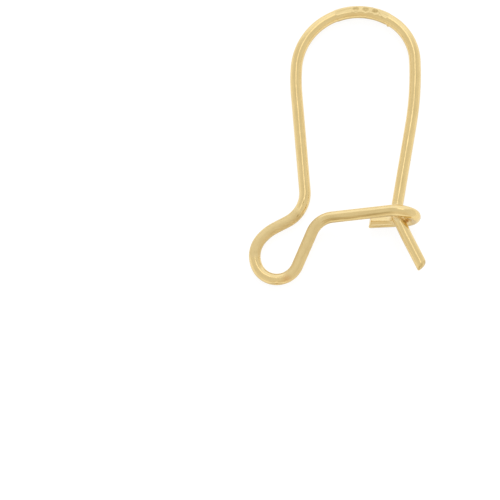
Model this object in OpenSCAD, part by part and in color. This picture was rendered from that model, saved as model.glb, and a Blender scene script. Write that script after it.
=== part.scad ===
// Kidney ear wire: one length of round wire, bent flat into a tall arch, a drop loop and a hook
// that catches the arch's own free leg.
// It lies as it does on a table. X runs across the arch, from the loop's side to the catch,
// Y runs up to the crown, and Z stands off the table. The origin is under the middle of the whole.

/* [Wire] */
// Diameter of the drawn wire
wire_d = 0.72; // [0.5:0.01:1]
// Clear space between two passes of the wire where they cross at the catch
crossing_gap = 0.03; // [0.02:0.005:0.1]

/* [Arch] */
// Width of the arch between the centres of its two legs
arch_w = 7.36; // [6:0.02:10]
// Straight length of the front leg
leg_len = 6.25; // [3:0.05:12]
// Radius of the waist, where the front leg turns outwards to the loop
waist_r = 2.12; // [1.2:0.02:4]

/* [Struck crown] */
// Length of wire that is struck flat at the top of the arch
struck_len = 3.2; // [1.8:0.1:4.8]
// Depth of the flat on the wire's upper side
struck_top = 0.05; // [0.03:0.005:0.1]
// Depth of the flat on the wire's underside
struck_under = 0.03; // [0.01:0.005:0.08]
// How far each side of the struck wire spreads
struck_spread = 0.025; // [0.01:0.005:0.05]
// Distance between the middles of the plain punch marks on the flat
mark_pitch = 0.53; // [0.4:0.01:0.7]
// Width of a punch mark
mark_w = 0.3; // [0.2:0.01:0.32]
// Depth of a punch mark
mark_depth = 0.03; // [0.02:0.005:0.06]

/* [Drop loop] */
// Straight length of the neck between the waist and the loop
neck_len = 0.84; // [0.2:0.02:2]
// Width of the loop's round end between the centres of the wire
loop_d = 2.7; // [2.3:0.05:5]
// Straight length of the riser from the loop up to the bar
riser_len = 2.34; // [1.4:0.02:4.5]
// Radius of the corner between the riser and the bar
corner_r = 1.46; // [0.8:0.02:2.8]

/* [Catch] */
// Radius of the bar's bend where it passes over the back leg
over_r = 2; // [1:0.1:4]
// Straight of the hook between its bend over the back leg and its turn underneath
hook_run = 0.15; // [0.05:0.01:1]
// How far the hook toes in from the line of the bar, in degrees
hook_toe = 13; // [6:1:25]
// Length of the hook's return under the back leg, from its outermost corner to the cut
stub_len = 2.76; // [1.8:0.02:4.2]
// Slant of the cut at the end of the return, in degrees
stub_cut_angle = 20; // [0:1:30]

/* [Tail] */
// Radius of the kink in the back leg where the hook holds it
kink_r = 0.9; // [0.6:0.05:1.5]
// How far the kink splays the tail from the line of the back leg, in degrees
tail_splay = 33.5; // [20:0.5:45]
// Length of the tail that the hook covers, from the crossing to where the tail eases outwards
held_len = 1.6; // [1.2:0.05:3]
// How far the tail eases outwards there, in degrees
tail_ease = 2; // [1:0.5:8]
// Radius of that gentle bend
ease_r = 12; // [4:1:20]
// Length of the tail's free end, from there to the cut
free_len = 2.2; // [1:0.05:5]
// Slant of the cut at the end of the tail, in degrees
tail_cut_angle = 9; // [0:1:30]

/* [Hidden] */
$fn = 48;
GOLD = [0.86, 0.72, 0.42];

wire_r = wire_d / 2;
// A straight is a hair thinner than the bends and seats a little way inside them, so that they join
hair = 0.008 * wire_d;
seat = 0.015 * wire_d;
// Radius of the crown, as a share of the arch's width
crown_r = 0.506 * arch_w;
// Half of the angle that the struck length takes on the crown
crown_half = struck_len / crown_r * 90 / PI;
// How far the crown's middle leans from the X axis, and how far the wire turns from there to the
// end of each shoulder, in degrees
crown_lean = -3.8;
front_turn = 89.86;
back_turn = 84;
// Straight left between two bends that follow each other
blend = 0.008 * loop_d;

// Heights of the wire's centre above the table: at rest, in the back leg where the hook holds it,
// and in the bar where it passes over that leg
rest_z = wire_r;
leg_z = rest_z + wire_d + crossing_gap;
over_z = leg_z + wire_d + crossing_gap;
// Share of the climb that the riser has made at the bar's corner
climb_share = 0.25;
corner_z = rest_z + climb_share * (over_z - rest_z);

// Bends in the order that the wire takes them, away from the crown on each side.
// The columns are the straight run before the bend, the radius at the wire's centre,
// and the turn in degrees, which is positive to the left as the wire runs.
RUN = 0;
RADIUS = 1;
TURN = 2;
FRONT = [
    [blend, 0.527 * arch_w, front_turn - crown_half],
    [blend, 1.547 * arch_w, 8.6],
    [leg_len, waist_r, -66.4],
    [neck_len, 1.066 * loop_d, 21.5],
    [blend, 0.643 * loop_d, 63.2],
    [blend, 0.5 * loop_d, 134],
    [riser_len, corner_r, -64.3]
];
BACK = [
    [blend, 0.448 * arch_w, crown_half - back_turn],
    [blend, 2.878 * arch_w, -11.4]
];

function unit(v) = v / norm(v);
function lift(v, z) = [v[0], v[1], z];
function heading(angle) = [cos(angle), sin(angle)];
function cross_of(a, b) = a[0] * b[1] - a[1] * b[0];
function angle_between(a, b) = acos(max(-1, min(1, unit(a) * unit(b))));

// Distance from a bend's corner to where the bend begins
function tangent(radius, turn) = radius * tan(abs(turn) / 2);
// Distance by which a bend passes inside its corner
function cut_in(radius, turn) = radius * (1 / cos(turn / 2) - 1);

// Corners of a bend table, walked from a point on a heading, with a bend's tangent already behind it
function corners(table, from, angle, behind, i = 0) =
    i == len(table) ? [] :
    let (
        ahead = tangent(table[i][RADIUS], table[i][TURN]),
        corner = from + (behind + table[i][RUN] + ahead) * heading(angle)
    )
    concat([corner], corners(table, corner, angle + table[i][TURN], ahead, i + 1));
function turned(table, i = 0) = i == len(table) ? 0 : table[i][TURN] + turned(table, i + 1);
function length_to(points, i) = i == 0 ? 0 : norm(points[i] - points[i - 1]) + length_to(points, i - 1);

// Where the line from p on one heading meets the line from q on another
function meeting(p, p_angle, q, q_angle) =
    p + heading(p_angle) * cross_of(q - p, heading(q_angle)) / cross_of(heading(p_angle), heading(q_angle));

// The plan, with the top of the crown's centre line at 0, 0
crown_tangent = tangent(crown_r, 2 * crown_half);
crown_corner = cut_in(crown_r, 2 * crown_half) * heading(90 + crown_lean);
front_angle = 180 + crown_lean + crown_half;
back_angle = crown_lean - crown_half;
front = corners(FRONT, crown_corner, front_angle, crown_tangent);
back = corners(BACK, crown_corner, back_angle, crown_tangent);
bar_angle = front_angle + turned(FRONT);
leg_angle = back_angle + turned(BACK);
bar_corner = front[len(front) - 1];
crossing = meeting(bar_corner, bar_angle, back[len(back) - 1], leg_angle);

// The bar's bend over the leg turns both in plan and down to level, and passes inside its corner,
// so the corner stands that much higher
bar_rise = atan2(over_z - corner_z, norm(crossing - bar_corner));
over_turn = acos(cos(bar_rise) * cos(hook_toe));
top_z = over_z + cut_in(over_r, over_turn);
// Each of the hook's two quarter turns, with a little straight between them
hook_r = 0.48 * (top_z - rest_z);
hook_corner = crossing + (tangent(over_r, over_turn) + hook_run + hook_r) * heading(bar_angle - hook_toe);
stub_angle = bar_angle + 180;
stub_end = hook_corner + stub_len * heading(stub_angle);
held_angle = leg_angle + tail_splay;
ease_corner = crossing + held_len * heading(held_angle);
tail_angle = held_angle + tail_ease;
tail_end = ease_corner + free_len * heading(tail_angle);

// Every corner of the wire in space, from the cut of the hook's return to the cut of the tail
climb = concat([crown_corner], back, [crossing]);
function leg_height(i) = rest_z + (leg_z - rest_z) * length_to(climb, i) / length_to(climb, len(climb) - 1);
hook = [lift(stub_end, rest_z), lift(hook_corner, rest_z), lift(hook_corner, top_z), lift(crossing, top_z)];
CORNERS = concat(
    hook,
    [for (i = [len(front) - 1:-1:0]) lift(front[i], i == len(front) - 1 ? corner_z : rest_z)],
    [for (i = [0:len(climb) - 1]) lift(climb[i], leg_height(i))],
    [lift(ease_corner, leg_z), lift(tail_end, leg_z)]
);
BEND_RADII = concat(
    [0, hook_r, hook_r, over_r],
    [for (i = [len(front) - 1:-1:0]) FRONT[i][RADIUS]],
    [crown_r],
    [for (row = BACK) row[RADIUS]],
    [kink_r, ease_r, 0]
);
last = len(CORNERS) - 1;
crown = len(hook) + len(front);

// Directions into and out of a corner, its turn, and the frame of its bend: X from the bend's centre
// to where it begins, Y along the wire there
function along(i) = unit(CORNERS[i + 1] - CORNERS[i]);
function turn_at(i) = i == 0 || i == last ? 0 : angle_between(along(i - 1), along(i));
function tangent_at(i) = tangent(BEND_RADII[i], turn_at(i));
function begin_at(i) = CORNERS[i] - tangent_at(i) * along(i - 1);
function end_at(i) = i == 0 ? CORNERS[0] : CORNERS[i] + tangent_at(i) * along(i);
function inward(i) = unit(along(i) - cos(turn_at(i)) * along(i - 1));
function centre_at(i) = begin_at(i) + BEND_RADII[i] * inward(i);
function frame(x, y, z, origin) = [
    [x[0], y[0], z[0], origin[0]],
    [x[1], y[1], z[1], origin[1]],
    [x[2], y[2], z[2], origin[2]]
];
function sideways(v) = unit(abs(v[2]) > 0.9 ? cross(v, [1, 0, 0]) : cross(v, [0, 0, 1]));

// The box round the wire, read off points along its bends and the corners of its two cuts.
// Where the wire runs along t, its half width times sqrt(1 - t * t) is its reach to each side on an axis.
SAMPLES = 48;
function bend_point(i, a) =
    centre_at(i) + BEND_RADII[i] * (sin(a) * along(i - 1) - cos(a) * inward(i));
function bend_run(i, a) = cos(a) * along(i - 1) + sin(a) * inward(i);
function half_width(i) = i == crown ? wire_r + struck_spread : wire_r;
function reach(half, t, axis) = half * sqrt(max(0, 1 - t[axis] * t[axis]));
function cut_corner(end, angle, slant, side) = end + side * wire_r / cos(slant) * heading(angle + slant + 90);
function edge_values(axis, side) = concat(
    [
        for (i = [1:last - 1], k = [0:SAMPLES])
            let (a = turn_at(i) * k / SAMPLES)
            bend_point(i, a)[axis] + side * reach(half_width(i), bend_run(i, a), axis)
    ],
    [for (s = [-1, 1]) cut_corner(stub_end, stub_angle, -stub_cut_angle, s)[axis]],
    [for (s = [-1, 1]) cut_corner(tail_end, tail_angle, tail_cut_angle, s)[axis]]
);
middle = [for (axis = [0, 1]) (min(edge_values(axis, -1)) + max(edge_values(axis, 1))) / 2];

module round_wire(from, to) {
    run = unit(to - from);
    side = sideways(run);
    multmatrix(frame(side, cross(run, side), run, from - seat * run))
        cylinder(h = norm(to - from) + 2 * seat, r = wire_r - hair);
}

// A length of wire that runs level to its end and is cut there on a slant
module cut_wire(from, end, angle, slant) {
    difference() {
        round_wire(from, end + wire_d * unit(end - from));
        translate(end)
            rotate([0, 0, angle + slant])
                translate([0, -wire_d, -wire_d])
                    cube([2 * wire_d, 2 * wire_d, 2 * wire_d]);
    }
}

module bend(i) {
    x = -inward(i);
    y = along(i - 1);
    multmatrix(frame(x, y, cross(x, y), centre_at(i)))
        rotate_extrude(angle = turn_at(i))
            translate([BEND_RADII[i], 0])
                children();
}

// Section of the struck wire: spread sideways and flat on both faces.
// The crown turns to the right as the wire runs, so the section's Y points down to the table.
module struck_section() {
    intersection() {
        union() {
            for (side = [-1, 1]) translate([side * struck_spread, 0]) circle(r = wire_r);
        }
        translate([-wire_d, struck_top - wire_r])
            square([2 * wire_d, wire_d - struck_top - struck_under]);
    }
}

// Three plain round punch marks along the middle of the upper flat
module punch_marks() {
    ball_r = (mark_w * mark_w / 4 + mark_depth * mark_depth) / (2 * mark_depth);
    for (k = [-1:1]) {
        a = crown_half + k * mark_pitch / crown_r * 180 / PI;
        translate(bend_point(crown, a) + [0, 0, wire_r - struck_top + ball_r - mark_depth])
            sphere(r = ball_r);
    }
}

module ear_wire() {
    color(GOLD)
        translate([-middle[0], -middle[1], 0]) {
            cut_wire(begin_at(1), CORNERS[0], stub_angle, -stub_cut_angle);
            for (i = [1:last - 2]) round_wire(end_at(i), begin_at(i + 1));
            for (i = [1:last - 1]) if (i != crown) bend(i) circle(r = wire_r);
            difference() {
                bend(crown) struck_section();
                punch_marks();
            }
            cut_wire(end_at(last - 1), CORNERS[last], tail_angle, tail_cut_angle);
        }
}

ear_wire();
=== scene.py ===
# %% [markdown]
# # A kidney ear wire
# An ear wire is the part of an earring that goes through the ear. This one is a kidney wire: a single
# length of thin gold wire, bent into a tall arch, a narrow loop that carries the drop, and a hook that
# catches the wire's own free leg. There is no solder and no second piece, so the whole lesson is about
# one wire: where it runs, how its surface was worked, and what polished gold shows in a white room.

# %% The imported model
from math import acos, ceil, cos, degrees, pi, radians, sin, tan

import bpy
import numpy as np
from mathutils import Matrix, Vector
from mathutils.bvhtree import BVHTree


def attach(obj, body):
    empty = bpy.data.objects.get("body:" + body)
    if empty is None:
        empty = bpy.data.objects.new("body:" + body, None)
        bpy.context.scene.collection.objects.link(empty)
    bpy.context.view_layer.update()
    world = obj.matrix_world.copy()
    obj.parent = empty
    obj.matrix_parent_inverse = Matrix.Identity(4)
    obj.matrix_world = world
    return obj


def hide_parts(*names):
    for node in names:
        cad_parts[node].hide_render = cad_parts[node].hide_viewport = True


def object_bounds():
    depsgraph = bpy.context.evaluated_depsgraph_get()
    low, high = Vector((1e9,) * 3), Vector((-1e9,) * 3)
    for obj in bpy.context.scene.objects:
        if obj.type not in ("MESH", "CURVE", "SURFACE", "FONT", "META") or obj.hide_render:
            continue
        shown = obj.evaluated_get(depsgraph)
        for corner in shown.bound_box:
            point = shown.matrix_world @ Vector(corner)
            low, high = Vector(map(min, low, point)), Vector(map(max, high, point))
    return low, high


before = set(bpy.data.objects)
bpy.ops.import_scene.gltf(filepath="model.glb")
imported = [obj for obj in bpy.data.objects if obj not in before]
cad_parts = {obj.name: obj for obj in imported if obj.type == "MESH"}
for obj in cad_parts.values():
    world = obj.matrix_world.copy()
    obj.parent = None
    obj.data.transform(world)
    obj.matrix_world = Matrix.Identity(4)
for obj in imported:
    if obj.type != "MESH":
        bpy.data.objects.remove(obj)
cad_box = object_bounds()
MM = 0.001
print("CAD box in mm:", [round(x / MM, 2) for corner in cad_box for x in corner])

# %% [markdown]
# ## Where the wire runs
# A wire bender works from a list: feed so much wire, bend it over a pin of this radius through this
# angle, feed again. The same list describes the wire here, because a reader can check it against the
# object, and every straight stays truly straight. A freehand curve would wobble where the real wire,
# fresh from the pliers, has clean arcs. The sums are done in millimetres, and the mesh is turned to
# metres at the end.

# %% Sizes of the bent wire, in millimetres
wire_d = 0.72
wire_r = wire_d / 2
crossing_gap = 0.03
arch_w = 7.36
struck_len = 3.2
loop_d = 2.7
over_r = 2.0
hook_run = 0.15
hook_toe = 13
stub_len = 2.76
kink_r = 0.9
tail_splay = 33.5
held_len = 1.6
tail_ease = 2
ease_r = 12.0
free_len = 2.2
climb_share = 0.25
hook_share = 0.48

# Radii that follow the arch or the loop are given as shares of its width
crown_r = 0.506 * arch_w
crown_half = degrees(struck_len / crown_r) / 2
crown_lean = -3.8
blend = 0.008 * loop_d
rest_z = wire_r
leg_z = rest_z + wire_d + crossing_gap
over_z = leg_z + wire_d + crossing_gap
corner_z = rest_z + climb_share * (over_z - rest_z)
print("wire", wire_d, "mm thick, arch", arch_w, "mm and loop", loop_d, "mm across their centre lines")

# %% The bending list
# Feed, radius of the bend, and turn in degrees, positive to the left for one who walks from the crown
front_bends = [
    (blend, 0.527 * arch_w, 89.86 - crown_half),
    (blend, 1.547 * arch_w, 8.6),
    (6.25, 2.12, -66.4),
    (0.84, 1.066 * loop_d, 21.5),
    (blend, 0.643 * loop_d, 63.2),
    (blend, 0.5 * loop_d, 134),
    (2.34, 1.46, -64.3),
]
back_bends = [
    (blend, 0.448 * arch_w, crown_half - 84),
    (blend, 2.878 * arch_w, -11.4),
]
print("bends in the list:", len(front_bends) + len(back_bends) + 1)


# %% Corners of the bent wire
def heading(angle):
    """A level direction, from its angle in degrees."""
    return np.array([cos(radians(angle)), sin(radians(angle)), 0.0])


def tangent(radius, turn):
    """How far before its corner a bend begins."""
    return radius * tan(radians(abs(turn)) / 2)


def cut_in(radius, turn):
    """How far a bend passes inside its corner."""
    return radius * (1 / cos(radians(turn) / 2) - 1)


def walk(bends, point, angle, behind):
    """Corners that a list of bends leads to, and the heading after the last one."""
    found = []
    for feed, radius, turn in bends:
        ahead = tangent(radius, turn)
        point = point + (behind + feed + ahead) * heading(angle)
        found.append(point)
        angle, behind = angle + turn, ahead
    return found, angle


def meeting(p, p_angle, q, q_angle):
    """Where the line from p meets the line from q, seen from above."""
    a, b, gap = heading(p_angle), heading(q_angle), q - p
    return p + a * (gap[0] * b[1] - gap[1] * b[0]) / (a[0] * b[1] - a[1] * b[0])


def at_height(point, z):
    """The same place seen from above, at another height."""
    return np.array([point[0], point[1], z])


crown_corner = cut_in(crown_r, 2 * crown_half) * heading(90 + crown_lean)
crown_behind = tangent(crown_r, 2 * crown_half)
front, bar_angle = walk(front_bends, crown_corner, 180 + crown_lean + crown_half, crown_behind)
back, leg_angle = walk(back_bends, crown_corner, crown_lean - crown_half, crown_behind)
crossing = meeting(front[-1], bar_angle, back[-1], leg_angle)
print("the bar meets the back leg at", crossing[:2].round(2))

# %% [markdown]
# The hook stands up out of the table: the bar climbs from the loop, passes over the free leg, turns down
# round it and returns underneath as a short stub. The leg climbs a little from the crown so that it can
# pass between, and ends in the tail. Working the heights out from the wire's own thickness keeps a true
# gap at the catch.

# %% Heights at the catch
bar_rise = np.arctan2(over_z - corner_z, np.linalg.norm(crossing - front[-1]))
over_turn = degrees(acos(cos(bar_rise) * cos(radians(hook_toe))))
top_z = over_z + cut_in(over_r, over_turn)
hook_r = hook_share * (top_z - rest_z)
hook_out = tangent(over_r, over_turn) + hook_run + hook_r
hook_corner = crossing + hook_out * heading(bar_angle - hook_toe)
stub_end = hook_corner - stub_len * heading(bar_angle)
held_angle = leg_angle + tail_splay
ease_corner = crossing + held_len * heading(held_angle)
tail_end = ease_corner + free_len * heading(held_angle + tail_ease)

climb = [crown_corner] + back + [crossing]
climbed = np.cumsum([0] + [np.linalg.norm(b - a) for a, b in zip(climb, climb[1:])])
leg_heights = rest_z + (leg_z - rest_z) * climbed / climbed[-1]
front_heights = [rest_z] * (len(front) - 1) + [corner_z]
hook = [at_height(stub_end, rest_z), at_height(hook_corner, rest_z)]
hook += [at_height(hook_corner, top_z), at_height(crossing, top_z)]

corners = np.array(
    hook
    + [at_height(p, z) for p, z in zip(front[::-1], front_heights[::-1])]
    + [at_height(p, z) for p, z in zip(climb, leg_heights)]
    + [at_height(ease_corner, leg_z), at_height(tail_end, leg_z)]
)
bend_radii = (
    [0, hook_r, hook_r, over_r]
    + [radius for _, radius, _ in front_bends[::-1]]
    + [crown_r]
    + [radius for _, radius, _ in back_bends]
    + [kink_r, ease_r, 0]
)
crown_index = len(hook) + len(front)
print("corners:", len(corners), "  top of the hook's centre line:", round(top_z, 3), "mm")


# %% The centre line
def unit(v):
    """Vectors in the same directions, each of length 1."""
    return v / np.linalg.norm(v, axis=-1, keepdims=True)


def straights_and_bends():
    """The centre line in pieces, each a length and a function from a distance to a point and direction.
    Also how far along the wire each bend's middle lies."""
    pieces, middles, here, done = [], {}, corners[0], 0.0
    for i in range(1, len(corners)):
        run = unit(corners[i] - corners[i - 1])
        ends_here = i == len(corners) - 1
        after = run if ends_here else unit(corners[i + 1] - corners[i])
        turn = acos(np.clip(run @ after, -1, 1))
        there = corners[i] - tangent(bend_radii[i], degrees(turn)) * run
        straight = np.linalg.norm(there - here)
        pieces.append((straight, lambda d, p=here, r=run: (p + d * r, r)))
        done += straight
        if ends_here:
            break
        inward = unit(after - cos(turn) * run)

        def bend(d, c=there + bend_radii[i] * inward, r=run, n=inward, radius=bend_radii[i]):
            a = d / radius
            return c + radius * (sin(a) * r - cos(a) * n), cos(a) * r + sin(a) * n

        arc = bend_radii[i] * turn
        pieces.append((arc, bend))
        middles[i] = done + arc / 2
        done += arc
        here = bend(arc)[0]
    return pieces, middles, done


def centre_at(distances):
    """Points and directions at distances along the wire, which may run a little past its ends."""
    ends = np.cumsum([length for length, _ in wire_pieces])
    which = np.minimum(np.searchsorted(ends, distances), len(wire_pieces) - 1)
    found = [wire_pieces[k][1](d - (ends[k - 1] if k else 0)) for k, d in zip(which, distances)]
    return np.array([p for p, _ in found]), np.array([t for _, t in found])


wire_pieces, bend_middles, wire_len = straights_and_bends()
print("length of the wire:", round(wire_len, 2), "mm")

# %% [markdown]
# ## From a line to a skin
# The wire is swept: rings of points stand square to the centre line, and neighbouring rings are joined by
# quads. A curve with a bevel gives the same tube in one line, but its points can't be moved afterwards
# without losing the curve, and every mark on this wire is such a move. The rings stand closest on the
# crown, where the marks are.

# %% Rings of the plain round wire
sides = 88
ring_step, crown_step = 0.06, 0.02
stub_round, tail_round = 0.08, 0.12
rim_rings, face_rings = 6, 8

crown_at = bend_middles[crown_index]
fine_reach = 0.6 * struck_len
crown_from, crown_to = crown_at - fine_reach, crown_at + fine_reach


def even(start, stop, step):
    """Even steps from start up to, but not with, stop."""
    return np.linspace(start, stop, ceil((stop - start) / step), endpoint=False)


def rounded(edge):
    """Rings from the body out to the middle of an end: how far past the body, and their radii."""
    rim = np.linspace(0, pi / 2, rim_rings)[1:]
    face = np.linspace(1, 0, face_rings, endpoint=False)[1:]
    past = edge * np.concatenate([np.sin(rim), np.ones(len(face))])
    radii = np.concatenate([wire_r - edge * (1 - np.cos(rim)), (wire_r - edge) * face])
    return past, radii


stub_past, stub_radii = rounded(stub_round)
tail_past, tail_radii = rounded(tail_round)
body_at = np.concatenate([
    even(stub_round, crown_from, ring_step),
    even(crown_from, crown_to, crown_step),
    even(crown_to, wire_len - tail_round, ring_step),
    [wire_len - tail_round],
])
ring_at = np.concatenate([stub_round - stub_past[::-1], body_at, wire_len - tail_round + tail_past])
ring_r = np.concatenate([stub_radii[::-1], np.full(len(body_at), wire_r), tail_radii])
ring_c, ring_run = centre_at(ring_at)


def carried_up(directions):
    """An upward direction at each ring, carried along the wire without twisting."""
    found, last = [], np.array([0.0, 0.0, 1.0])
    for run in directions:
        last = unit(last - (last @ run) * run)
        found.append(last)
    return np.array(found)


ring_up = carried_up(ring_run)
ring_side = np.cross(ring_run, ring_up)
turn_round = np.linspace(0, 2 * pi, sides, endpoint=False)
offset = ring_r[:, None, None] * (
    np.cos(turn_round)[:, None] * ring_side[:, None, :]
    + np.sin(turn_round)[:, None] * ring_up[:, None, :]
)
print("rings:", len(ring_at), "  quads:", (len(ring_at) - 1) * sides)

# %% [markdown]
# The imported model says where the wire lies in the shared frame. The bent wire is set into it by the outer
# edges of its loop, which no cut or mark touches. The distance from the centre line to the CAD solid's
# surface then shows whether the two agree: it should be the wire's radius, and less where it was struck.

# %% Setting the wire into the frame
plain = ring_c[:, None, :] + offset
shift = np.array(cad_box[0]) / MM - plain.min(axis=(0, 1))
ring_c[:, :2] += shift[:2]

cad_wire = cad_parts["ear_wire"]
cad_tree = BVHTree.FromPolygons(
    [v.co / MM for v in cad_wire.data.vertices], [p.vertices[:] for p in cad_wire.data.polygons]
)
off_crown = [p for p, s in zip(ring_c, ring_at) if abs(s - crown_at) > struck_len and 1 < s < wire_len - 1]
to_skin = [cad_tree.find_nearest(Vector(p))[3] for p in off_crown]
print("centre line to the CAD surface:", round(min(to_skin), 3), "to", round(max(to_skin), 3), "mm")

# %% [markdown]
# ## The worked surface
# Plain tube isn't yet wire that someone has worked. The crown was struck between two dies, which hardens
# it so that the arch keeps its shape, and leaves a flat on top, which leans a little outwards, and another
# underneath. Pliers left facets and small dents. Each of these presses the skin towards the centre line
# from one side, so one function makes them all. Its limit comes in softly, as metal rolls over beside a
# tool.

# %% Pressing the wire
level_up = np.array([0.0, 0.0, 1.0]) - ring_run[:, 2:] * ring_run
level_up /= np.maximum(np.linalg.norm(level_up, axis=1, keepdims=True), 1e-6)
to_right = np.cross(ring_run, level_up)


def smooth(x):
    """0 below 0, 1 above 1, and a soft step between."""
    x = np.clip(x, 0, 1)
    return x * x * (3 - 2 * x)


def stretch(at, length, ease):
    """How far each ring belongs to a stretch of wire: 1 inside it, falling to 0 over the ease."""
    return smooth(1 - (abs(ring_at - at) - length / 2) / ease)


def towards(angle):
    """A direction across the wire at each ring: 0 points up from the table and 90 to the wire's right."""
    return cos(radians(angle)) * level_up + sin(radians(angle)) * to_right


def press(at, length, ease, angle, depth, soft=0.015):
    """Flattens the skin on one side over a stretch, to a depth, with rounded edges."""
    global offset
    side = towards(angle)[:, None, :]
    height = (offset * side).sum(axis=-1)
    limit = wire_r + soft - (depth + soft) * stretch(at, length, ease)[:, None]
    over = np.clip(height - limit + soft, 0, 2 * soft)
    lowered = np.minimum(height, limit + soft) - over**2 / (4 * soft)
    offset = offset + (lowered - height)[..., None] * side


# %% The struck crown
struck_top, struck_under, struck_spread, struck_ease = 0.05, 0.03, 0.025, 0.16
struck_lean = 18

press(crown_at, struck_len, struck_ease, -struck_lean, struck_top, 0.006)
press(crown_at, struck_len, struck_ease, 180, struck_under)
sideways = (offset * to_right[:, None, :]).sum(axis=-1, keepdims=True)
widen = struck_spread / wire_r * stretch(crown_at, struck_len, struck_ease)[:, None, None]
offset = offset + widen * sideways * to_right[:, None, :]
crown_ring = abs(ring_at - crown_at).argmin()
crown_width = np.ptp((offset[crown_ring] * to_right[crown_ring]).sum(axis=-1))
print("the struck crown is", round(crown_width, 3), "mm wide, and the wire", wire_d)

# %% [markdown]
# Three plain round punch marks sit on the flat, a little past its middle towards the free leg. A round
# punch pushes a bowl into the metal and raises a small lip round it, and the lip catches the light.

# %% The punch marks
mark_pitch, mark_w, mark_depth, mark_lip = 0.6, 0.42, 0.065, 0.015
mark_lean, marks_past_crown = 8, 0.22
lip_at, lip_spread, top_ease = 1.15, 0.2, 0.2


def punch(at):
    """A bowl with a raised lip in the struck flat. Returns how deep in the bowl each point lies."""
    global offset
    flat_up = towards(-mark_lean)[:, None, :]
    across = (offset * towards(90 - mark_lean)[:, None, :]).sum(axis=-1)
    out = np.hypot(ring_at[:, None] - at, across) / (mark_w / 2)
    bowl = mark_depth * np.clip(1 - out**2, 0, 1) ** 1.5
    lip = mark_lip * np.exp(-(((out - lip_at) / lip_spread) ** 2))
    on_top = smooth((offset * flat_up).sum(axis=-1) / top_ease)
    offset = offset + (on_top * (lip - bowl))[..., None] * flat_up
    return on_top * bowl / mark_depth


marks_at = [crown_at + marks_past_crown + place * mark_pitch for place in (-1, 0, 1)]
punched = sum(punch(at) for at in marks_at)
print("punch marks:", len(marks_at), "each", mark_w, "mm wide")

# %% [markdown]
# Flat jaws held the hook's end while the hook was bent, and left two facets on it that meet in a ridge.
# The pliers also left a dent at the corner of the bar and a dimple under the loop, each a short press.

# %% Facets and nicks
# Each facet: its angle from up, its depth, and how softly its edges roll over
facets = [(-13, 0.035, 0.008), (40, 0.045, 0.012)]
facet_at, facet_len, facet_ease = 1.1, 2.0, 0.3
for angle, depth, soft in facets:
    press(facet_at, facet_len, facet_ease, angle, depth, soft)

# Each nick: how far along the wire it is, its angle from up, and its depth
nicks = [(10.4, 28, 0.02), (14.5, -60, 0.03)]
nick_len, nick_ease, nick_soft = 0.05, 0.09, 0.006
for at, angle, depth in nicks:
    press(at, nick_len, nick_ease, angle, depth, nick_soft)
print("facets:", len(facets), "  nicks:", len(nicks))

# %% [markdown]
# Scratches run along the hook's end, over the crown near the end of its flat, across the waist and under
# the loop. Each is a groove along a line on the skin, and it holds a little polish; the darker tint along
# the one under the loop is painted shade. One speck of metal stands proud on the inside of the crown. A
# bump in the material could stand in for them, but a groove in the mesh also holds up in a close view and
# in the exported model.


# %% Scratches and a burr
def skin_angles():
    """Each point's angle round the centre line: 0 faces up from the table and 90 the wire's right."""
    right = (offset * to_right[:, None, :]).sum(axis=-1)
    up = (offset * level_up[:, None, :]).sum(axis=-1)
    return np.degrees(np.arctan2(right, up))


def skin_spot(at, angle):
    """The spot on the skin at a distance along the wire and an angle from up."""
    ring = abs(ring_at - at).argmin()
    return ring_c[ring] + wire_r * towards(angle)[ring]


def score(start, stop, width, depth):
    """A groove between two places on the skin, each a distance along the wire and an angle from up.
    Returns how far each point lies in the groove."""
    global offset
    along = np.repeat(ring_at[:, None], sides, axis=1)
    place = np.stack([along, radians(1) * wire_r * skin_angles()], axis=-1)
    a, b = (np.array([at, radians(angle) * wire_r]) for at, angle in (start, stop))
    share = np.clip(((place - a) @ (b - a)) / ((b - a) @ (b - a)), 0, 1)
    away = np.linalg.norm(place - a - share[..., None] * (b - a), axis=-1)
    shallower_at_ends = smooth(4 * share * (1 - share) + 0.2)
    groove = smooth(1 - away / width) * shallower_at_ends
    offset = offset - depth * groove[..., None] * unit(offset)
    return groove


def burr(at, angle, size, height):
    """A speck of metal standing proud of the skin. Returns how far each point lies in the speck."""
    global offset
    away = np.linalg.norm(ring_c[:, None, :] + offset - skin_spot(at, angle), axis=-1)
    speck = np.exp(-((away / size) ** 2))
    offset = offset + height * speck[..., None] * towards(angle)[:, None, :]
    return speck


# Each scratch: where it starts, where it stops, its width and its depth
scratches = [
    ((0.15, 64), (2.4, 64), 0.06, 0.02),
    ((37.45, -12), (37.85, 30), 0.05, 0.018),
    ((21.62, 6), (21.38, 5), 0.055, 0.02),
    ((21.05, 62), (20.85, 62), 0.055, 0.02),
    ((20.75, 20), (20.55, 32), 0.055, 0.02),
    # Under the loop: its darker tint is painted shade along the lower outer edge
    ((14.85, -70), (14.2, -72), 0.08, 0.02),
]
grooves = [score(*scratch) for scratch in scratches]
grooves.append(burr(at=38.36, angle=88, size=0.08, height=0.08))
grooved = np.max(grooves, axis=0)
print("scratches:", len(scratches), "and one burr")

# %% [markdown]
# Cutters pinch the wire as they part it, so each end closes to a low ridge and its edge is rounded by the
# tumbling that polished it. Both ends were cut a little askew.

# %% The cut ends
cut_pinch = 0.1
stub_slant, tail_slant = 11, 16
lean_reach, pinch_reach, wear_reach = 0.6, 0.3, 0.5


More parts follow.
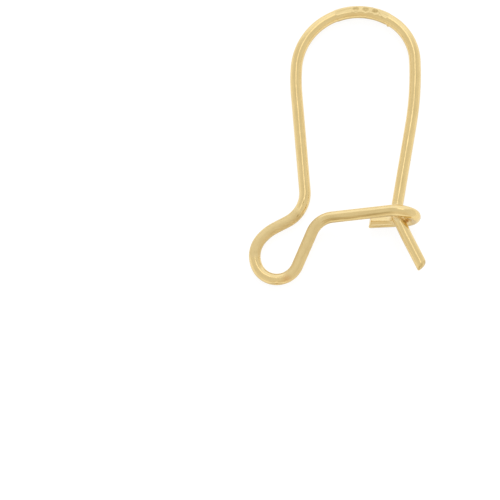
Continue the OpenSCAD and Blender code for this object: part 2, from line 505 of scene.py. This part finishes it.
def cut(outwards, at, slant, longer, worn_off):
    """Leans an end at a slant in degrees, pinches it to a level ridge and wears its left corner."""
    global offset
    inside = abs(ring_at - at)
    left = -outwards * (offset * to_right[:, None, :]).sum(axis=-1)
    high = abs((offset * level_up[:, None, :]).sum(axis=-1)) / wire_r
    lean = tan(radians(slant)) * left * smooth(1 - inside / lean_reach)[:, None]
    pinch = (cut_pinch * high - longer) * smooth(1 - inside / pinch_reach)[:, None]
    wear = worn_off * np.clip(left / wire_r, 0, 1) ** 2 * smooth(1 - inside / wear_reach)[:, None]
    offset = offset - (lean + pinch + wear)[..., None] * outwards * ring_run[:, None, :]


cut(outwards=-1, at=0, slant=-stub_slant, longer=0.07, worn_off=0)
cut(outwards=1, at=wire_len, slant=tail_slant, longer=0.06, worn_off=0.16)
print("ends cut at", stub_slant, "and", tail_slant, "degrees")

# %% [markdown]
# Now the skin has its final shape, and becomes one closed mesh: quads between neighbouring rings, and a
# fan of triangles over the middle of each end. It rides on the object's only body and stands for the
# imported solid, which is hidden here and goes on working in the physics.

# %% The mesh
skin = (ring_c[:, None, :] + offset).reshape(-1, 3)
ends = [skin[:sides].mean(axis=0), skin[-sides:].mean(axis=0)]
points = np.vstack([skin, ends]) * MM
n_rings = len(ring_at)

first = (np.arange(n_rings - 1)[:, None] * sides + np.arange(sides)).ravel()
second = (np.arange(n_rings - 1)[:, None] * sides + (np.arange(sides) + 1) % sides).ravel()
quads = np.column_stack([first, first + sides, second + sides, second]).tolist()
stub_middle, tail_middle, last = n_rings * sides, n_rings * sides + 1, (n_rings - 1) * sides
caps = [(stub_middle, j, (j + 1) % sides) for j in range(sides)]
caps += [(tail_middle, last + (j + 1) % sides, last + j) for j in range(sides)]

mesh = bpy.data.meshes.new("ear_wire_bent")
mesh.from_pydata(points.tolist(), [], quads + caps)
mesh.shade_smooth()
wire = bpy.data.objects.new("ear_wire_bent", mesh)
bpy.context.collection.objects.link(wire)
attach(wire, "root")
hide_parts("ear_wire")
print("triangles:", 2 * len(quads) + len(caps))

# %% [markdown]
# ## What the finish needs to know
# Five facts are kept on the mesh for the material, because each belongs to a place on the real wire. The
# first is where each point lay while the wire was straight: drawing lines follow the wire through all its
# bends, and a pattern laid on the straight wire does so too. The second is where pliers and fingers
# dulled the polish. The third is painted light: a paler tint where parts of the wire lie close together in
# the catch, and a painted highlight along the hook's end; these places are duller too. The fourth is a
# darker tint: polish held in the scratches, the punch marks and the struck crown's flat, painted shade on
# the low front of the bar, the crown's inner edge and under the loop, and the tail's sheared end. The fifth
# is a few warm darker patches, two of them painted shade in the catch and under the loop.


# %% Along the straight wire, and where it was handled
def with_ends(values, stub=0, tail=0):
    """The values of the rings' points, then those of the middles of the two cut ends."""
    return np.concatenate([values.ravel(), [stub, tail]])


around = np.stack([np.cos(turn_round), np.sin(turn_round)], axis=-1)
drawn = np.zeros((n_rings, sides, 3))
drawn[..., 0] = ring_at[:, None]
drawn[..., 1:] = ring_r[:, None, None] * around
drawn = np.vstack([drawn.reshape(-1, 3), [[0, 0, 0], [wire_len, 0, 0]]])

# Stretches are given from the middles of the bends that they run between
riser = (bend_middles[4] + 0.1, bend_middles[5] - 0.8)
neck = (bend_middles[6] - 0.1, bend_middles[8] - 0.5)
handled_ease = 0.5
handled = np.zeros(n_rings)
for begin, end in (riser, neck):
    handled = np.maximum(handled, stretch((begin + end) / 2, end - begin, handled_ease))
handled = with_ends(np.repeat(handled, sides))
print("handled points:", int((handled > 0.5).sum()))

# %% What holds polish, and painted shade on the bar and the crown
bar = (bend_middles[3] + 0.5, bend_middles[4] - 0.3)
bar_ease, sheared_len = 0.6, 0.15
bar_shade_share, flat_share, edge_shade_share = 0.62, 0.33, 0.8
skin_angle = skin_angles()


def band(middle, half, ease):
    """How far each point belongs to a band along the skin, given by angles from up."""
    return smooth(1 - (abs(skin_angle - middle) - half) / ease)


# Painted shade: the low front of the bar and the inner edge of the struck crown are tinted darker, where
# the metal mirrors the shaded table
low_front = band(-75, 41, 20)
on_bar = stretch(sum(bar) / 2, bar[1] - bar[0], bar_ease)[:, None]
struck = stretch(crown_at, struck_len, struck_ease)[:, None]
on_flat = band(-struck_lean, 12.5, 25) * struck
inner_edge = band(90, 14, 14) * struck
# The tail's last 0.15 mm, up to its cut end, is tinted darker
sheared = smooth(1 - (wire_len - ring_at) / sheared_len)
# One mask for the darker tint: polish held in the scratches, punch marks and struck flat, painted shade on
# the bar and the crown's inner edge, and the darker tail end
held_polish_and_shade = np.max([
    bar_shade_share * low_front * on_bar,
    flat_share * on_flat,
    edge_shade_share * inner_edge,
    np.repeat(sheared[:, None], sides, axis=1),
    grooved,
    punched,
], axis=0)
held_polish_and_shade = with_ends(held_polish_and_shade, tail=1)
print("scored points:", int((held_polish_and_shade > 0.5).sum()))

# %% Painted light in the catch, and a painted highlight along the hook's end
# Another part of the wire is one that lies at least this far along it, and at most this far away
far_along, close_by = 3, 1.4
catch_light_reach = 0.5
skin_rows = skin.reshape(n_rings, sides, 3)
# Painted light: a paler tint where another part of the wire lies close, in the catch's shade
catch_painted_light = np.zeros((n_rings, sides))
for i, (p, s) in enumerate(zip(ring_c, ring_at)):
    others = ring_c[(abs(ring_at - s) > far_along) & (np.linalg.norm(ring_c - p, axis=1) < close_by)]
    if len(others):
        gaps = np.linalg.norm(skin_rows[i][:, None, :] - others, axis=2).min(axis=1) - wire_r
        catch_painted_light[i] = smooth(1 - gaps / catch_light_reach)

# A painted highlight: a pale band along the upper side of the hook's end
ridge_at, ridge_len, ridge_ease, highlight_share = 1.25, 2.1, 0.2, 0.9
along_ridge = stretch(ridge_at, ridge_len, ridge_ease)[:, None]
stub_painted_highlight = highlight_share * band(50, 0, 12) * along_ridge
catch_painted_light = with_ends(np.maximum(catch_painted_light, stub_painted_highlight))
# Points tinted paler as painted light
print("rubbed points:", int((catch_painted_light > 0.2).sum()))

# %% Warm patches and painted shade, and all five facts kept on the mesh
# Each warm patch: how far along the wire in millimetres, its angle from up, its reach and its strength. The
# second, under the loop, and the third, in the catch, are painted shade.
warm_spots_and_shade = [
    (13.92, -29, 0.42, 0.45),
    # Painted shade along the loop's lower outer edge
    (14.5, -64, 0.14, 0.4),
    # Painted shade in the catch, between the hook and the free leg
    (2.5, 20, 0.2, 0.8),
]
warm_patches_and_shade = np.zeros((n_rings, sides))
for at, angle, reach, strength in warm_spots_and_shade:
    away = np.linalg.norm(skin_rows - skin_spot(at, angle), axis=-1)
    warm_patches_and_shade = np.maximum(warm_patches_and_shade, strength * smooth(1 - away / reach))
warm_patches_and_shade = with_ends(warm_patches_and_shade)


def keep(name, values):
    """Stores one number, or one place, for each point of the mesh."""
    kind, field = ("FLOAT_VECTOR", "vector") if values.ndim == 2 else ("FLOAT", "value")
    stored = mesh.attributes.new(name, kind, "POINT")
    stored.data.foreach_set(field, values.ravel())


facts = {"drawn": drawn, "handled": handled, "catch_painted_light": catch_painted_light, "held_polish_and_shade": held_polish_and_shade, "warm_patches_and_shade": warm_patches_and_shade}
for name, values in facts.items():
    keep(name, values)
print("stains:", len(warm_spots_and_shade), "  facts on the mesh:", len(facts))

# %% [markdown]
# ## Gold
# The real wire is 9 carat yellow gold: gold with silver and copper, drawn through a plate, bent, and
# polished in a tumbler. Metal has no colour of its own but tints what it reflects, so its tint is a pale
# straw yellow, and the white room does the rest. Drawing leaves faint lines along the wire, and polish
# caught in the deeper ones shows as thin darker streaks. Tumbling leaves a soft gloss rather than a
# mirror. The pliers' stretches are duller and a little paler, since their fine scratches scatter light.


# %% Nodes
def linear(hex_colour):
    """An sRGB hex colour as linear values."""
    parts = [int(hex_colour[i:i + 2], 16) / 255 for i in (1, 3, 5)]
    return [c / 12.92 if c <= 0.04045 else ((c + 0.055) / 1.055) ** 2.4 for c in parts] + [1.0]


def add(tree, kind, links=None, values=None, **settings):
    """Adds a node with its settings, its sockets' values, and what is linked into it."""
    node = tree.nodes.new("ShaderNode" + kind)
    for name, value in settings.items():
        setattr(node, name, value)
    for socket, value in (values or {}).items():
        node.inputs[socket].default_value = value
    for socket, source in (links or {}).items():
        tree.links.new(source, node.inputs[socket])
    return node


def new_tree(owner):
    """An empty node tree for a material or for the world."""
    owner.use_nodes = True
    owner.node_tree.nodes.clear()
    return owner.node_tree


# %% Tints of the gold, painted light and shade among them, and how far handling and the catch dull it
polished_tint = linear("#E7CD92")
handled_tint = linear("#E5CF99")
# Darker for held polish and painted shade, paler for painted light in the catch, warm for warm patches and
# painted shade
polish_and_shade_tint = linear("#B79C62")
catch_light_tint = linear("#F8E6B8")
warm_patch_and_shade_tint = linear("#D39A58")
handled_dulls, catch_dulls = 0.48, 0.5
bump_height = 0.01 * MM
print("polished tint, linear:", [round(c, 3) for c in polished_tint])

# %% Patterns on the gold
gold = bpy.data.materials.new("drawn_yellow_gold")
t = new_tree(gold)
straight = add(t, "Attribute", attribute_name="drawn").outputs["Vector"]
handled_here = add(t, "Attribute", attribute_name="handled").outputs["Fac"]
# Painted light in the catch, held polish with painted shade, and warm patches with painted shade
catch_light_here = add(t, "Attribute", attribute_name="catch_painted_light").outputs["Fac"]
polish_and_shade_here = add(t, "Attribute", attribute_name="held_polish_and_shade").outputs["Fac"]
warm_shade_here = add(t, "Attribute", attribute_name="warm_patches_and_shade").outputs["Fac"]

# Real drawing lines are hundredths of a millimetre apart, too fine to show at this size. These are
# 0.11 mm apart and run 1.4 mm along the wire.
lines_per_mm = (0.7, 9, 9)
along = add(t, "VectorMath", {0: straight}, {1: lines_per_mm}, operation="MULTIPLY").outputs[0]
lines = add(t, "TexNoise", {"Vector": along}, {"Scale": 1, "Detail": 3, "Roughness": 0.6}).outputs["Fac"]
# Tumbling leaves patches of about 0.6 mm, and a grain of 0.07 mm between them
patches = add(t, "TexNoise", {"Vector": straight}, {"Scale": 1.6, "Detail": 3}).outputs["Fac"]
grain = add(t, "TexNoise", {"Vector": straight}, {"Scale": 14, "Detail": 2}).outputs["Fac"]
print("lines across each millimetre of skin:", lines_per_mm[1])

# %% Tint, gloss and bump of the gold
# Polish caught in the deeper lines shows as thin streaks, and smears of it lie over the patches
streaks = add(
    t, "MapRange", {"Value": lines}, {"From Min": 0.5, "From Max": 0.7, "To Max": 0.19}
).outputs[0]
smears = add(
    t, "MapRange", {"Value": patches}, {"From Min": 0.42, "From Max": 0.62, "To Max": 0.07}
).outputs[0]
line_depth = add(
    t, "MapRange", {"Value": lines}, {"From Min": 0.38, "From Max": 0.62, "To Min": 0.2}
).outputs[0]
lined = add(t, "Math", {0: polish_and_shade_here, 1: line_depth, 2: streaks}, operation="MULTIPLY_ADD").outputs[0]
polish_and_shade_share = add(t, "Math", {0: lined, 1: smears}, use_clamp=True).outputs[0]

tint = add(
    t, "Mix", {"Factor": handled_here}, {"A": polished_tint, "B": handled_tint}, data_type="RGBA"
).outputs["Result"]
# These mixes lay held polish and painted shade, the painted light of the catch, and warm patches with
# painted shade over the tint
for share, colour in (
    (polish_and_shade_share, polish_and_shade_tint), (catch_light_here, catch_light_tint), (warm_shade_here, warm_patch_and_shade_tint)
):
    tint = add(t, "Mix", {"Factor": share, "A": tint}, {"B": colour}, data_type="RGBA").outputs["Result"]

gloss = add(t, "MapRange", {"Value": patches}, {"To Min": 0.11, "To Max": 0.19}).outputs[0]
for share, dulls in ((handled_here, handled_dulls), (catch_light_here, catch_dulls)):
    gloss = add(t, "Math", {0: share, 2: gloss}, {1: dulls}, operation="MULTIPLY_ADD").outputs[0]

rough_lines = add(t, "Bump", {"Height": lines}, {"Strength": 0.45, "Distance": bump_height}).outputs[0]
rough_grain = add(
    t, "Bump",
    {"Height": grain, "Normal": rough_lines},
    {"Strength": 0.25, "Distance": bump_height},
).outputs[0]

metal = add(
    t, "BsdfPrincipled",
    {"Base Color": tint, "Roughness": gloss, "Normal": rough_grain},
    {"Metallic": 1.0},
)
add(t, "OutputMaterial", {"Surface": metal.outputs[0]})
mesh.materials.append(gold)
print("gold:", len(t.nodes), "nodes")

# %% [markdown]
# ## Table and light
# Polished metal shows the room, so the room is part of the finish. A white tent gives the even straw tone,
# brighter and cooler behind the wire and dimmer in front. A soft box, longer from front to back, draws
# the thin bright line down the legs. The table is brighter than plain white paper in any lamp, so it is
# two sheets: the camera sees one that glows, and the metal mirrors a plain white one just below it, which
# a lamp from behind lights. So the wire keeps its soft dark edges where it nears the table.


# %% Table
def sheet(name, height, grey, glow):
    """A matte sheet to lay the wire on, which glows a little."""
    made = bpy.data.meshes.new(name)
    corners_of_sheet = [(-1, -1, height), (1, -1, height), (1, 1, height), (-1, 1, height)]
    made.from_pydata(corners_of_sheet, [], [(0, 1, 2, 3)])
    paper = bpy.data.materials.new(name)
    t = new_tree(paper)
    matte = add(t, "BsdfPrincipled", None, {
        "Base Color": linear(grey), "Roughness": 0.9,
        "Emission Color": linear("#FFFFFF"), "Emission Strength": glow,
    })
    add(t, "OutputMaterial", {"Surface": matte.outputs[0]})
    made.materials.append(paper)
    laid = bpy.data.objects.new(name, made)
    bpy.context.collection.objects.link(laid)
    return laid


bright_sheet = sheet("bright_sheet", height=0.0, grey="#6A6A6A", glow=0.88)
bright_sheet.visible_glossy = False
bright_sheet.visible_diffuse = False
bright_sheet.visible_shadow = False
plain_sheet = sheet("plain_sheet", height=-0.01 * MM, grey="#B8B8B8", glow=0.45)
plain_sheet.visible_camera = False
print("the table's sheets:", bright_sheet.name, "and", plain_sheet.name)

# %% White tent
tent_glow = 1.44
world = bpy.data.worlds.new("white_tent")
bpy.context.scene.world = world
t = new_tree(world)
toward = add(t, "SeparateXYZ", {0: add(t, "TexCoord").outputs["Generated"]}).outputs


def blend_to(under, hex_colour, direction, start, end):
    """Mixes the tent's colour to another one where a direction's share runs from start to end."""
    share = add(
        t, "MapRange", {"Value": direction}, {"From Min": start, "From Max": end},
        interpolation_type="SMOOTHSTEP",
    ).outputs[0]
    colour = linear(hex_colour)
    mixed = add(t, "Mix", {"Factor": share, "A": under}, {"B": colour}, data_type="RGBA")
    return mixed.outputs["Result"]


walls = add(t, "RGB")
walls.outputs[0].default_value = linear("#D5D5D5")
tent = blend_to(walls.outputs[0], "#CCCCCC", toward["Z"], start=0.3, end=0.9)
aside = add(t, "Math", {0: toward["X"]}, operation="ABSOLUTE").outputs[0]
before = add(t, "Math", {0: aside, 2: toward["Y"]}, {1: 0.9}, operation="MULTIPLY_ADD").outputs[0]
tent = blend_to(tent, "#CDC8C0", before, start=-0.1, end=-0.8)
behind = add(t, "Math", {0: aside, 2: toward["Y"]}, {1: -0.5}, operation="MULTIPLY_ADD").outputs[0]
tent = blend_to(tent, "#EBF0FC", behind, start=0.28, end=0.5)
cloth = add(t, "Background", {"Color": tent}, {"Strength": tent_glow})
add(t, "OutputWorld", {"Surface": cloth.outputs[0]})
print("tent:", len(t.nodes), "nodes")


# %% Soft box over the wire, and a lamp behind that lights the table
def soft_lamp(name, width, length, radiance, place):
    """A rectangular soft box, which faces straight down."""
    lamp = bpy.data.lights.new(name, "AREA")
    lamp.shape = "RECTANGLE"
    lamp.size, lamp.size_y = width, length
    lamp.energy = pi * width * length * radiance
    box = bpy.data.objects.new(name, lamp)
    bpy.context.collection.objects.link(box)
    box.location = place
    box.visible_camera = False
    return box


soft_lamp("soft_box", width=0.12, length=0.22, radiance=0.56, place=(-0.01, 0.17, 0.5))
back_lamp = soft_lamp("back_lamp", width=0.5, length=0.5, radiance=15, place=(0, 1.0, 0.9))
back_lamp.rotation_euler = back_lamp.location.to_track_quat("Z", "Y").to_euler()
back_lamp.visible_glossy = False
print("back lamp from the wire:", round(back_lamp.location.length, 2), "m")

# %% [markdown]
# ## Camera
# The camera looks down at the wire from in front, through a long lens from more than a metre away. From
# there the wire is drawn almost without perspective, which keeps the true outline of the arch. The colours
# go to the picture as they are, with no film look over them, because a film look would dull a white table.

# %% Camera
view_down = radians(73.4)
photo_middle = Vector((-5.449, -6.659, 0)) * MM
camera_away = 1.2906
back_to_camera = Vector((0, -cos(view_down), sin(view_down)))
lens = bpy.data.cameras.new("camera")
lens.lens = 1500
lens.clip_start = 0.01
lens.clip_end = 20
camera = bpy.data.objects.new("camera", lens)
bpy.context.collection.objects.link(camera)
camera.location = photo_middle + camera_away * back_to_camera
camera.rotation_euler = back_to_camera.to_track_quat("Z", "Y").to_euler()
bpy.context.scene.camera = camera
bpy.context.scene.view_settings.view_transform = "Standard"
print("camera to the wire:", camera_away, "m, looking down at", round(degrees(view_down), 1), "degrees")

# %% [markdown]
# ## Bringing the scene up to date
# The finish keeps the wire's size: its box and the imported model's should differ by no more than a tenth
# of a millimetre, where the tail's tip is rounded and worn. Here the view layer is only brought up to date.

# %% Bringing the view layer up to date
bpy.context.view_layer.update()
